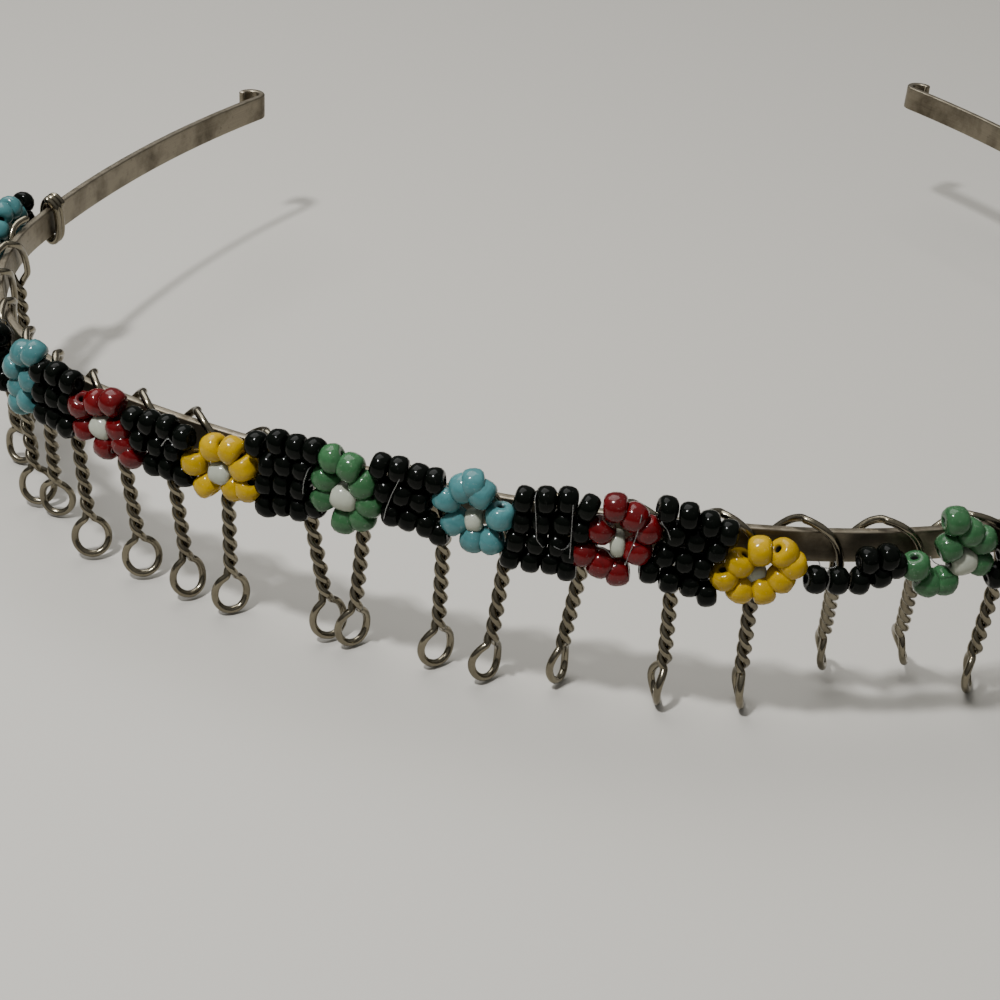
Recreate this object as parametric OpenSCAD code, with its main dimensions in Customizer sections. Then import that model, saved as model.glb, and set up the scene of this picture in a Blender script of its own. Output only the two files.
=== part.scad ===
// Beaded headband: a flat metal band bent to the head, a comb of twisted wire teeth wound along it,
// and seed beads tied to its outer face as small flowers between black bundles.
// The band's mid-line lies level. The headband stands on the tips of its teeth, at height 0.
// Arc positions run along the band, to the right from the place where its two halves join.

/* [Band] */
// Height of the flat band
band_h = 3.4; // [2.6:0.1:4.2]
// Thickness of the band
band_t = 0.85; // [0.6:0.05:1]
// Heading of the band where its left and right halves join, from +X
front_heading = -8; // [-12:1:0]
// Radius of the left half's front
front_r_left = 129; // [120:1:140]
// Sweep of the left half's front
front_sweep_left = 30; // [26:1:34]
// Radius of the left half's side bend
side_r_left = 37; // [34:1:42]
// Sweep of the left half's side bend
side_sweep_left = 74; // [68:1:80]
// Radius of the left arm
arm_r_left = 154; // [130:1:200]
// Sweep of the left arm
arm_sweep_left = 19; // [16:1:22]
// Radius of the right half's front
front_r_right = 64.5; // [60:0.5:70]
// Sweep of the right half's front
front_sweep_right = 69; // [62:1:74]
// Radius of the right half's side bend
side_r_right = 49; // [44:1:54]
// Sweep of the right half's side bend
side_sweep_right = 28; // [22:1:34]
// Radius of the right arm
arm_r_right = 129; // [110:1:160]
// Sweep of the right arm
arm_sweep_right = 31; // [26:1:34]
// Mid-line radius of the curl at each end of the band
curl_r = 1.5; // [1.2:0.1:2.2]
// Sweep of the curl at each end of the band
curl_sweep = 200; // [120:10:240]

/* [Comb] */
// Diameter of the wire
wire_d = 0.7; // [0.6:0.05:0.8]
// Distance from the band's mid-line down to a straight tooth's tip
tooth_reach = 19.6; // [17:0.2:22]
// Outside diameter of the eye at a tooth's tip
eye_d = 4.2; // [3.4:0.1:4.4]
// Turn of the eyes out of the band's cross-section, in degrees
eye_turn = 35; // [20:1:45]
// Length of one half turn of the twisted stem
half_turn = 1.85; // [1.5:0.05:2]
// Spacing of the teeth where no tooth has a place of its own
tooth_pitch = 7.4; // [7:0.1:8]
// Room between the band and the wire across its outer face
outer_gap = 0.1; // [0.05:0.05:0.15]
// Room between the band and the wire across its inner face
inner_gap = 0.3; // [0.25:0.05:0.35]

/* [Beads] */
// Diameter of a seed bead
bead_d = 2.66; // [2.3:0.02:2.7]
// Radius of the ring that a hidden flower's eight petals lie on
petal_ring_r = 2.85; // [2.6:0.05:3.1]
// Spacing of the flowers on the hidden right half
flower_pitch = 12.7; // [12.5:0.1:13]
// Spacing of the rows in a black bundle
row_pitch = 2.45; // [2.2:0.05:2.6]
// Room between the beads and the wire behind them
bead_gap = 0.2; // [0.15:0.05:0.3]
// Room between a flower and the bundles beside it
bundle_gap = 0.15; // [0.15:0.05:0.4]
// Arc position of the last bead on the left
beads_from = -117; // [-118:0.5:-116.5]
// Arc position of the last bead on the right
beads_to = 111; // [110.5:0.5:113]

/* [Hidden] */
$fn = 32;
// Angle between neighbouring points along the band, and round the curls at its ends
band_step = 3;
curl_step = 20;
// Radius and sweep of each arc from the front to the end; a curl turns the other way
arcs_left = [
    [front_r_left, front_sweep_left],
    [side_r_left, side_sweep_left],
    [arm_r_left, arm_sweep_left],
    [-curl_r, -curl_sweep],
];
arcs_right = [
    [front_r_right, front_sweep_right],
    [side_r_right, side_sweep_right],
    [arm_r_right, arm_sweep_right],
    [-curl_r, -curl_sweep],
];
wire_r = wire_d / 2;
bead_r = bead_d / 2;
outer_y = band_t / 2 + outer_gap + wire_r;
inner_y = band_t / 2 + inner_gap + wire_r;
bead_y = outer_y + wire_r + bead_gap + bead_r;
foot_z = -band_h / 2 - wire_d;
top_z = band_h / 2 + wire_d + 0.2;
eye_r = eye_d / 2 - wire_r;
eye_z = -tooth_reach + eye_d / 2;

// Teeth that have a place of their own: arc position, lean along the band, lean towards the head
seen_teeth = [
    [-86.3, 12, 0],
    [-78.8, -7, 4],
    [-73.9, 10, -3],
    [-67.3, 10, -1],
    [-60.9, 9, -2],
    [-54.1, 2, -2],
    [-45.3, 11, 0],
    [-39.1, -4, 0],
    [-31.2, 0, 0],
    [-24.9, -4, -3],
    [-17.6, -5, 4],
    [-9.2, 1, 0],
    [-1.6, 2, 0],
    [6, 9, 19],
    [13.8, 15, 18],
    [23.2, 3, 3],
];
// Left of them and right of them the teeth follow at the comb's pitch
teeth_before = 3;
teeth_after = 11;
teeth = concat(
    [for (k = [teeth_before:-1:1]) [seen_teeth[0][0] - k * tooth_pitch, 2, 2]],
    seen_teeth,
    [for (k = [1:teeth_after]) [seen_teeth[len(seen_teeth) - 1][0] + k * tooth_pitch, 1, 2]]
);

// Flowers that have a place of their own: arc position, height above the band's mid-line, half width
// and half height of the ring of petals, then height and number of rows of the bundle after it, colour
placed_flowers = [
    [-112.6, 0.4, 2.85, 2.85, 0, 3, "blue"],
    [-101.4, 0, 2.85, 2.85, 0, 3, "yellow"],
    [-89.8, 0, 2.85, 2.85, 0, 3, "green"],
    [-78.2, 0.4, 2.6, 3.3, 0.3, 3, "blue"],
    [-66.6, -0.1, 3.2, 2.9, -0.5, 3, "red"],
    [-53, -0.7, 3.1, 2.6, 0.5, 4, "yellow"],
    [-39.9, 0.6, 2.5, 3.3, 1.5, 3, "green"],
    [-27.9, 1.2, 2.6, 3.2, 0.8, 3, "blue"],
    [-14.8, 0.5, 2.9, 3.3, 0.3, 4, "red"],
    [-1.9, -1.4, 3.2, 2.7, 0, 2, "yellow"],
    [15.6, 0.4, 3.3, 3.1, 0, 3, "green"],
];
// After them the four colours repeat to the right end
colour_order = ["blue", "red", "yellow", "green"];
flowers_after = 7;
last_placed_s = placed_flowers[len(placed_flowers) - 1][0];
flowers = concat(
    placed_flowers,
    [for (k = [1:flowers_after])
        [last_placed_s + k * flower_pitch, 0, petal_ring_r, petal_ring_r, 0, 3, colour_order[(k - 1) % 4]]]
);
petals = 8;
// The bundle after this flower, counted from 0, has slipped and hangs at the band's lower edge
slipped_after = 9;
slipped_z = -2.1;
// Largest radius of a centre bead
centre_r_max = 1.3;
// Shift of the band's joining place that brings the frame's origin under the middle of the headband
origin_shift = [2.1, -60.1];

function two_digits(k) = k < 10 ? str("0", k) : str(k);
tooth_names = [for (k = [1:len(teeth)]) str("tooth_", two_digits(k))];
flower_names = [for (k = [1:len(flowers)]) str("flower_", two_digits(k), "_", flowers[k - 1][6])];

// Point and heading after an arc of radius r and sweep a that turns left from p at heading h
function arc_end(p, h, r, a) = p + r * [sin(h + a) - sin(h), cos(h) - cos(h + a)];

// Point and heading at distance s along a chain of arcs
function walk(arcs, s, p, h, k = 0) =
    let (r = arcs[k][0], a = arcs[k][1], arc_length = r * a * PI / 180)
    s <= arc_length || k == len(arcs) - 1
        ? concat(arc_end(p, h, r, s / r * 180 / PI), [h + s / r * 180 / PI])
        : walk(arcs, s - arc_length, arc_end(p, h, r, a), h + a, k + 1);

// Point and heading of the band's mid-line at arc position s
function spot(s) =
    s >= 0
        ? walk(arcs_right, s, [0, 0], front_heading)
        : let (m = walk(arcs_left, -s, [0, 0], -front_heading)) [-m[0], m[1], -m[2]];

// Puts a piece at arc position s: x along the band, y towards the head, z up from the mid-line
module at(s) {
    q = spot(s);
    translate([q[0] + origin_shift[0], q[1] + origin_shift[1], tooth_reach])
        rotate([0, 0, q[2]])
            children();
}

// Points along a chain of arcs, each moved by off to the outer side of the band
function edge(arcs, off, p, h, k = 0) =
    k == len(arcs)
        ? [p + off * [sin(h), -cos(h)]]
        : let (r = arcs[k][0], a = arcs[k][1], count = ceil(abs(a) / (abs(r) > 5 ? band_step : curl_step)))
          concat(
              [for (j = [0:count - 1])
                  let (g = h + a * j / count) arc_end(p, h, r, a * j / count) + off * [sin(g), -cos(g)]],
              edge(arcs, off, arc_end(p, h, r, a), h + a, k + 1)
          );

// One edge of the whole band, from its left end to its right end
function whole_edge(off) =
    let (
        left = edge(arcs_left, off, [0, 0], -front_heading),
        right = edge(arcs_right, off, [0, 0], front_heading)
    )
    concat([for (j = [len(left) - 1:-1:0]) [-left[j][0], left[j][1]]], [for (j = [1:len(right) - 1]) right[j]]);

module strip() {
    outer = whole_edge(band_t / 2);
    inner = whole_edge(-band_t / 2);
    color("rosybrown")
        translate([origin_shift[0], origin_shift[1], tooth_reach - band_h / 2])
            linear_extrude(height = band_h)
                polygon(concat(outer, [for (j = [len(inner) - 1:-1:0]) inner[j]]));
}

// Wire from the foot of a tooth up one face of the band, and half way over the band's top edge.
// It leans by span along the band, and y_off is its distance from the band's mid-plane.
module leg(span, y_off) {
    rise = top_z - foot_z;
    run = sqrt(rise * rise + span * span) - y_off;
    open_angle = 9;
    translate([0, 0, foot_z])
        rotate([0, -atan(span / rise), 0]) {
            translate([0, -y_off, 0])
                cylinder(h = run, r = wire_r);
            translate([0, -y_off, run])
                sphere(r = wire_r + 0.03);
            translate([0, 0, run])
                rotate([180, -90, 0])
                    rotate([0, 0, open_angle])
                        rotate_extrude(angle = 90 - open_angle)
                            translate([y_off, 0])
                                circle(r = wire_r);
        }
}

// Twisted stem: a turned profile with one swelling for each half turn of the two strands
module stem(length) {
    swell = wire_d - 0.02;
    waist = wire_r + 0.1;
    steps = 4;
    turns = round(length / half_turn);
    count = turns * steps;
    rotate_extrude(angle = 360)
        polygon(concat(
            [[0, 0]],
            [for (k = [0:count])
                [waist + (swell - waist) * abs(sin(180 * k / steps)), -length * k / count]],
            [[0, -length]]
        ));
}

// One tooth: both legs, the shoulder where they meet, the twisted stem and the eye
module tooth(k) {
    lean_along = teeth[k][1];
    lean_in = teeth[k][2];
    pitch_before = k == 0 ? tooth_pitch : teeth[k][0] - teeth[k - 1][0];
    pitch_after = k == len(teeth) - 1 ? tooth_pitch : teeth[k + 1][0] - teeth[k][0];
    shoulder_h = 0.9;
    shoulder_r = outer_y + 0.2;
    pivot_z = foot_z - shoulder_h;
    at(teeth[k][0])
        color("darkkhaki") {
            leg(pitch_before / 2, outer_y);
            rotate([0, 0, 180])
                leg(pitch_after / 2, inner_y);
            translate([0, 0, pivot_z])
                cylinder(h = shoulder_h + 0.15, r1 = wire_d, r2 = shoulder_r);
            translate([0, 0, pivot_z])
                rotate([lean_in, -lean_along, 0]) {
                    sphere(r = wire_d + 0.05);
                    stem(pivot_z - eye_z - eye_r);
                    translate([0, 0, eye_z - pivot_z])
                        rotate([0, 90, -eye_turn])
                            rotate_extrude(angle = 360)
                                translate([eye_r, 0])
                                    circle(r = wire_r);
                }
        }
}

// Two closed turns of wire round the band beside the last tooth
module wire_end(s, way) {
    for (k = [0, 1])
        at(s + way * k * (wire_d + 0.2))
            color("darkkhaki")
                for (side = [-1, 1]) {
                    translate([0, side * inner_y, -band_h / 2])
                        cylinder(h = band_h, r = wire_r);
                    for (end = [-1, 1])
                        translate([0, side * inner_y, end * band_h / 2])
                            sphere(r = wire_r + 0.03);
                    translate([0, 0, side * band_h / 2])
                        rotate([0, -90 * side, 0])
                            rotate([0, 0, -90])
                                rotate_extrude(angle = 180)
                                    translate([inner_y, 0])
                                        circle(r = wire_r);
                }
}

// One flower: eight petals that run into each other in a ring on the band's outer face
module flower(k) {
    paint = [["blue", "turquoise"], ["red", "firebrick"], ["yellow", "gold"], ["green", "seagreen"]];
    colour = [for (c = paint) if (c[0] == flowers[k][6]) c[1]][0];
    at(flowers[k][0])
        translate([0, -bead_y, flowers[k][1]])
            color(colour)
                for (a = [0:360 / petals:359])
                    translate([flowers[k][2] * cos(a), 0, flowers[k][3] * sin(a)])
                        rotate([0, -a, 0])
                            rotate([90, 0, 0])
                                sphere(r = bead_r);
}

// The pale bead in the middle of every flower
module centre_beads() {
    for (f = flowers)
        at(f[0])
            translate([0, -bead_y, f[1]])
                color("ivory")
                    sphere(r = min(centre_r_max, min(f[2], f[3]) - bead_r - 0.15));
}

// How far flower k reaches along the band beside a row at height z
function petal_reach(k, z) =
    max([for (a = [0:360 / petals:359])
        let (clear = min(bead_r, max(0, abs(z - flowers[k][1] - flowers[k][3] * sin(a)) - bead_r)))
        max(flowers[k][2], flowers[k][2] * cos(a) + sqrt(bead_r * bead_r - clear * clear))]);

// Ends of a row at height z that starts after flower k, or ends before it
function row_start(k, z) = flowers[k][0] + petal_reach(k, z) + bundle_gap;
function row_end(k, z) = flowers[k][0] - petal_reach(k, z) - bundle_gap;

// One row of black beads from arc position s0 to s1, as the straight bar that the beads fill
module bead_row(s0, s1, z) {
    at((s0 + s1) / 2)
        translate([-(s1 - s0) / 2, -bead_y, z])
            rotate([0, 90, 0])
                cylinder(h = s1 - s0, r = bead_r);
}

// Bundle of rows between flowers k and k + 1
module bundle(k) {
    for (row = [0:flowers[k][5] - 1]) {
        z = flowers[k][4] + (row - (flowers[k][5] - 1) / 2) * row_pitch;
        bead_row(row_start(k, z), row_end(k + 1, z), z);
    }
}

// Bundle whose lower row hangs at the band's lower edge, with half a row left above it
module slipped_bundle(k) {
    upper_z = slipped_z + row_pitch;
    s0 = row_start(k, slipped_z);
    s1 = row_end(k + 1, slipped_z);
    bead_row(s0, s1, slipped_z);
    bead_row((s0 + s1) / 2, row_end(k + 1, upper_z), upper_z);
}

module black_beads_left() {
    color("black") {
        for (k = [0:slipped_after - 1])
            bundle(k);
        for (row = [-1:1])
            bead_row(beads_from, row_end(0, row * row_pitch), row * row_pitch);
    }
}

module black_beads_right() {
    last = len(flowers) - 1;
    color("black") {
        slipped_bundle(slipped_after);
        for (k = [slipped_after + 1:last - 1])
            bundle(k);
        for (row = [-1:1])
            bead_row(row_start(last, row * row_pitch), beads_to, row * row_pitch);
    }
}

strip();
wire_end(beads_from - 0.9, -1);  // wire_end_left
wire_end(beads_to + 0.9, 1);  // wire_end_right
for (k = [0:len(teeth) - 1])
    tooth(k);
for (k = [0:len(flowers) - 1])
    flower(k);
centre_beads();
black_beads_left();
black_beads_right();
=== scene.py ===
import math

import bpy
import numpy as np
from bpy.props import FloatProperty, FloatVectorProperty, IntProperty, PointerProperty
from bpy.types import Operator, Panel, PropertyGroup
from mathutils import Matrix


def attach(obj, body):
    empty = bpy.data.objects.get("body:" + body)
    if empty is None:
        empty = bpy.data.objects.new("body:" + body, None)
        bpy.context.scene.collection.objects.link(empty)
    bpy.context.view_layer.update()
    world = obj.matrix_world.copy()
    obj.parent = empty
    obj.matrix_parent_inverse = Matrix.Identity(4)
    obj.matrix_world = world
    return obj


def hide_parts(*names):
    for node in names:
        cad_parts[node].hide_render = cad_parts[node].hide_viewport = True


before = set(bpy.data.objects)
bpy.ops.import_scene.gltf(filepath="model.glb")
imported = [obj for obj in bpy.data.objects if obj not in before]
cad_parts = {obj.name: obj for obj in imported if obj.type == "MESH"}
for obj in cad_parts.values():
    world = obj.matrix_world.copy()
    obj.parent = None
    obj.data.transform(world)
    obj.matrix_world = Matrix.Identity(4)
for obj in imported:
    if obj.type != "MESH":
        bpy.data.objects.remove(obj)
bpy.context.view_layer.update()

bl_info = {
    "name": "Beaded headband",
    "version": (1, 0, 0),
    "blender": (4, 5, 0),
    "location": "3D View > Sidebar > Headband",
    "description": "Builds a steel hair band with a wound wire comb and seed bead daisies",
    "category": "Object",
}

# Lengths in the tables and functions below are in millimetres and angles in degrees.
# A mesh is turned into metres as it is made.
MM = 0.001

# The band's mid-line: radius and sweep of each arc, from where the halves join to each end.
# The last arc of each half is the small curl at the tip, which turns away from the head.
ARCS_LEFT = [(129, 30), (37, 74), (154, 19), (-1.5, -200)]
ARCS_RIGHT = [(64.5, 69), (49, 28), (129, 31), (-1.5, -200)]
FRONT_HEADING = -8
JOINING_PLACE = (2.1, -60.1)
MIDLINE_HEIGHT = 19.6

# Teeth as they stand: arc position, lean along the band and lean towards the head, and then the eye's turn,
# its lean along the band and its lean towards the head
SEEN_TEETH = [
    (-86.3, 12, 0, 28, -3, 0),
    (-78.8, -7, 4, 48, 6, 0),
    (-73.9, 10, -3, 36, 2, 0),
    (-67.3, 10, -1, 41, 2, 0),
    (-60.9, 9, -2, 27, 2, 0),
    (-54.1, 2, -2, 40, 3, 0),
    (-45.3, 11, 0, 36, 0, 0),
    (-39.1, -4, 0, 36, 4, 0),
    (-31.2, 0, 0, 40, 3, 0),
    (-24.9, -4, -3, 36, 3, 0),
    (-17.6, -6, 4, 20, 8, -3),
    (-9.2, 2, -1, -10, -6, 0),
    (-1.6, 2, 1, -1, 4, -2),
    (6, 11, 24, 12, 4, -14),
    (13.8, 15, 22, 12, 10, -8),
    (23.2, 1, 4, 36, 6, -4),
]
TOOTH_PITCH = 7.4
TEETH_BEFORE = 3
TEETH_AFTER = 11
# The same after the arc position, for a tooth before the seen ones and for one after them
PLAIN_BEFORE = (2, 2, 35, 3, 0)
PLAIN_AFTER = (1, 2, 35, 3, 0)

# Flowers as they are tied on: arc position, height above the mid-line, half width and half height of the
# ring of petals, height and number of rows of the black block after it, colour, length and diameter of the
# pale bead in its middle, and how much deeper than usual that bead is set
PLACED_FLOWERS = [
    (-112.6, 0.4, 2.85, 2.85, 0, 3, "blue", 2.1, 2.4, 0),
    (-101.4, 0, 2.85, 2.85, 0, 3, "yellow", 1.7, 1.9, 0),
    (-89.8, 0, 2.85, 2.85, 0, 3, "green", 2.2, 2.5, 0),
    (-78.2, 0.4, 2.6, 3.3, 0.3, 3, "blue", 1.5, 1.7, 1.3),
    (-66.6, -0.1, 3.2, 2.9, -0.5, 3, "red", 2.5, 2.6, 0),
    (-53, -0.7, 3.1, 2.6, 0.5, 4, "yellow", 2.4, 2.5, 0),
    (-39.9, 0.6, 2.5, 3.3, 1.5, 3, "green", 2.7, 2.8, 0),
    (-27.9, 1.2, 2.6, 3.2, 0.8, 3, "blue", 1.7, 2.3, 0.2),
    (-14.8, 0.5, 2.9, 3.3, 0.3, 4, "red", 1.5, 2.7, 0.2),
    (-1.9, -1.4, 3.2, 2.7, 0, 2, "yellow", 2, 2.1, 0.7),
    (15.6, 0.4, 3.3, 3.1, 0, 3, "green", 2.6, 2.8, 0),
]
# The seen flowers' petals and middles, each as (arc position, height), by the flower's number from 0
SEEN_PETALS = {
    3: [(-79.2, 0.9), (-77.6, 3.1), (-75.7, 3.9), (-76.6, 0.5), (-78.9, -1.3), (-77.1, -2), (-78.8, -3)],
    4: [
        (-69.3, 0.8), (-67.4, 1.7), (-65.5, 2.4), (-68.9, -1.7),
        (-64.7, -0.2), (-64.1, -1.6), (-63.3, -2.7), (-66.3, -2.7),
    ],
    5: [(-55.9, -1.1), (-53.8, 1.2), (-51.8, 1.6), (-50.5, 0.1), (-50, -2), (-51.5, -2.5), (-54.6, -3.2)],
    6: [
        (-41.5, 3.6), (-39.6, 3.2), (-42.1, 1.4), (-38.4, 1.6),
        (-42.1, -0.8), (-37.7, -0.3), (-40.1, -2.7), (-38.4, -2),
    ],
    7: [
        (-30.4, 2), (-29, 3.4), (-28.1, 4.1), (-27.2, 3.2),
        (-25.4, 1.2), (-29.5, -0.3), (-27.7, -1.7), (-26.1, -1.6),
    ],
    8: [
        (-15.2, 4), (-13.5, 3.2), (-16.3, 1.4), (-12.2, 1.9),
        (-12.9, -0.3), (-17.6, -1.3), (-16, -2.2), (-14.4, -2.9),
    ],
    9: [
        (-2, 0.8), (0.1, 0.7), (1, -0.4), (0.2, -2),
        (-3.6, -0.7), (-4.8, -2.2), (-3.2, -3.5), (-1.2, -3.3),
    ],
    10: [
        (12.2, -0.5), (13.8, -2.5), (15.2, -2.3), (15, 1.4),
        (15.1, 4.2), (16.6, 2.9), (18.1, 1.9), (18.3, -0.6),
    ],
}
SEEN_MIDDLES = {
    3: (-78.4, 0), 4: (-66.7, -0.7), 5: (-52.9, -1.2), 6: (-40.1, -0.1),
    7: (-27.8, 0.2), 8: (-14.7, 0.1), 9: (-1.9, -2.1), 10: (16.5, -0.2),
}
# Beads of the seen black blocks as (arc position, height), top row first, by the flower before the block
SEEN_BLOCKS = {
    3: [
        (-74.6, 2.4), (-72.3, 3.1), (-70.4, 2.9), (-74.7, 0), (-72.7, 0.3), (-70.9, 0.4), (-74.6, -2.3),
        (-72.8, -2.1), (-71.2, -2.4),
    ],
    4: [
        (-63, 1.4), (-60.9, 1.8), (-58.9, 1.9), (-57, 1.4), (-62, -0.4), (-60.1, -0.5), (-58.2, -0.4),
        (-60.6, -2.8), (-58.8, -2.6), (-57.1, -2.8),
    ],
    5: [
        (-49.2, 3), (-46.9, 3.9), (-45, 3.9), (-43.2, 4), (-47.9, 1.2), (-46.1, 1.8), (-44.3, 1.8),
        (-48.1, -0.8), (-46.3, -0.4), (-44.5, -0.4), (-48, -3.3), (-46.3, -2.7), (-44.6, -2.6), (-43, -1.9),
    ],
    6: [
        (-36.8, 4), (-35, 4.1), (-33.2, 3.7), (-31.6, 3.6), (-36.2, 1.6), (-34.5, 1.7), (-32.8, 1.3),
        (-35.5, -0.8), (-33.8, -0.8), (-32.1, -1.1), (-30.9, -1.8),
    ],
    7: [
        (-23.4, 3.4), (-21.4, 3.8), (-19.5, 4.1), (-17.6, 3.6), (-23.4, 1.1), (-21.5, 1.4), (-19.6, 1.7),
        (-18, 1.1), (-23.8, -1), (-21.9, -0.9), (-20, -0.8), (-18.8, -1.4), (-24.1, -2.9), (-22.3, -3),
        (-20.5, -2.8), (-19, -3.2),
    ],
    8: [
        (-10.7, 4.3), (-8.7, 4), (-6.8, 3.2), (-5, 2.5), (-9.7, 1.9), (-7.8, 1.4), (-5.9, 0.6),
        (-10.4, -0.5), (-8.6, -0.8), (-6.9, -1.3), (-11.6, -2.3), (-9.7, -3.1), (-7.8, -3.4), (-6.2, -4.2),
    ],
    9: [(3.3, -1.9), (5.3, -2), (7.3, -2), (9, -1.3), (10.3, -0.3), (7.7, 0.2), (9.4, 0.6)],
}
# Stretches of sewing thread that show on top of the beads, each as (arc position, height) points
SEEN_THREADS = [
    [(-58.9, 0.3), (-58, 1.7), (-57.1, 0.7)],
    [(-43.3, 2.6), (-43.7, 1.2), (-43.8, -0.3)],
    [(-34.5, 4), (-35.2, 2.1), (-35.7, 0.3), (-35.9, -0.9)],
    [(-22.3, 4.6), (-22, 2.2), (-21.8, 0.1), (-21.1, -0.7)],
    [(-20.3, -0.3), (-19.4, -0.6), (-18.9, 0)],
    [(-18.9, 4.4), (-18.8, 1.7), (-18.7, -1.6)],
    [(-12.9, 4.1), (-13.1, 2.1), (-13.5, 0.2), (-13.8, -1.4)],
    [(-16.6, 0.4), (-15.6, 0.2), (-14.9, -0.7)],
    [(-11.1, 3.7), (-10.5, 3), (-10.1, 1.9)],
    [(3.2, 0.3), (3.9, 0.2), (4.6, 0.4)],
    [(13.2, 0.7), (13.9, 0.3), (14.8, 0.2)],
]
# Flowers past the placed ones, with what their rows hold before the colour and after it
FLOWER_PITCH = 12.7
FLOWERS_AFTER = 7
PLAIN_FLOWER = (0, 2.85, 2.85, 0, 3)
PLAIN_PEARL = (2, 2.4, 0)
COLOUR_ORDER = ["blue", "red", "yellow", "green"]
# Where a flower's row holds its ring, its block, its colour, and its pale bead's size and depth
RING, BLOCK, COLOUR, PEARL_SHAPE, PEARL_DEEPER = slice(0, 4), slice(4, 6), 6, slice(7, 9), 9
PETALS = 8

# Ends of the beadwork, and the flower where the left half's black beads end and the right half's begin
BEADS_FROM = -117
BEADS_TO = 111
HALVES_MEET = 9

# Room between the band and the wire on its outer side, its inner side and its top edge
OUTER_GAP = 0.1
INNER_GAP = 0.3
TOP_GAP = 0.2
# Room between the beads and the wire behind them
BEAD_GAP = 0.2


def tooth_table():
    """Every tooth from left to right: those before the seen ones, the seen ones, and those after them."""
    first, last = SEEN_TEETH[0][0], SEEN_TEETH[-1][0]
    before = [(first - k * TOOTH_PITCH, *PLAIN_BEFORE) for k in range(TEETH_BEFORE, 0, -1)]
    after = [(last + k * TOOTH_PITCH, *PLAIN_AFTER) for k in range(1, TEETH_AFTER + 1)]
    return before + SEEN_TEETH + after


def flower_table():
    """Every flower from left to right; past the placed ones the four colours repeat at one pitch."""
    last = PLACED_FLOWERS[-1][0]
    after = [
        (last + k * FLOWER_PITCH, *PLAIN_FLOWER, COLOUR_ORDER[(k - 1) % 4], *PLAIN_PEARL)
        for k in range(1, FLOWERS_AFTER + 1)
    ]
    return PLACED_FLOWERS + after


TEETH = tooth_table()
FLOWERS = flower_table()


# The band's mid-line


def arc_lengths(arcs):
    """Length of each arc: its radius times its sweep."""
    return [r * math.radians(a) for r, a in arcs]


def chain(arcs, s, heading):
    """Points and headings at distances s along arcs that join smoothly and start at (0, 0).

    On an arc of radius r that starts at p with heading h, the point after a turn t is
    p + r (sin(h + t) - sin h, cos h - cos(h + t)), and t is the distance along it over r.
    """
    point, found_x, found_y = np.zeros(2), np.zeros_like(s), np.zeros_like(s)
    angle = np.full_like(s, heading)
    start = 0.0
    for (r, a), length in zip(arcs, arc_lengths(arcs)):
        on = s >= start
        turn = (s - start) / r
        found_x = np.where(on, point[0] + r * (np.sin(heading + turn) - np.sin(heading)), found_x)
        found_y = np.where(on, point[1] + r * (np.cos(heading) - np.cos(heading + turn)), found_y)
        angle = np.where(on, heading + turn, angle)
        end = heading + math.radians(a)
        across = math.cos(heading) - math.cos(end)
        point = point + r * np.array([math.sin(end) - math.sin(heading), across])
        heading = end
        start += length
    return found_x, found_y, angle


def spot(s):
    """Points and headings of the band's mid-line at arc positions s; the left half runs the mirror way."""
    right = chain(ARCS_RIGHT, np.abs(s), math.radians(FRONT_HEADING))
    left = chain(ARCS_LEFT, np.abs(s), math.radians(-FRONT_HEADING))
    x = np.where(s >= 0, right[0], -left[0])
    y = np.where(s >= 0, right[1], left[1])
    heading = np.where(s >= 0, right[2], -left[2])
    return x + JOINING_PLACE[0], y + JOINING_PLACE[1], heading


def on_band(points):
    """Points given as (arc position, distance towards the head, height over the mid-line), in the frame.

    Each goes to the mid-line's point at its arc position, plus its distance along the inward normal there.
    """
    s, inward, height = np.moveaxis(points, -1, 0)
    x, y, heading = spot(s)
    x, y = x - np.sin(heading) * inward, y + np.cos(heading) * inward
    return np.stack([x, y, height + MIDLINE_HEIGHT], -1)


def local_frame(s):
    """Unit vectors along the band, outward of it and up, at arc positions s."""
    heading = spot(s)[2]
    along = np.stack([np.cos(heading), np.sin(heading), np.zeros_like(heading)], -1)
    outward = np.stack([np.sin(heading), -np.cos(heading), np.zeros_like(heading)], -1)
    return along, outward, np.broadcast_to([0.0, 0.0, 1.0], along.shape)


# Surfaces

# A tube's end is closed by smaller sections, by their angle round the half ball, and the last one is this
# share of the radius
TUBE_END_ANGLES = (90, 67, 45, 22)
TUBE_END_SHARE = 0.02
# How far the bell that rounds a corner is carried, in times its width
BELL_REACH = 2.5
# A seed bead's outline: the angles of its points, the powers that fill its shoulders along the hole and
# away from it, and where the points in the hole are, as shares of the bead's length and the hole's radius
BEAD_ANGLES = (-88, -62, -36, -12, 12, 36, 62, 88)
SHOULDER_ALONG = 0.85
SHOULDER_OUT = 0.62
HOLE_ALONG = 0.36
HOLE_WIDTH = 0.86
HOLE_POINTS = 2


def unit(v):
    """Vectors over their lengths."""
    return v / np.linalg.norm(v, axis=-1, keepdims=True)


def grid_faces(rows, columns, close_rows=False):
    """Quads of a grid of points whose columns join round, and its rows too where close_rows is set."""
    i = np.arange(rows if close_rows else rows - 1)[:, None]
    j = np.arange(columns)[None, :]
    i2, j2 = (i + 1) % rows, (j + 1) % columns
    corners = [i * columns + j, i * columns + j2, i2 * columns + j2, i2 * columns + j]
    return np.stack([np.broadcast_to(c, (i.shape[0], columns)) for c in corners], -1).reshape(-1, 4)


def even_path(points, step):
    """The polyline through points, taken again at even steps of its length."""
    along = np.append(0, np.cumsum(np.linalg.norm(np.diff(points, axis=0), axis=1)))
    places = np.linspace(0, along[-1], round(along[-1] / step) + 1)
    return np.stack([np.interp(places, along, points[:, k]) for k in range(3)], 1)


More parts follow.
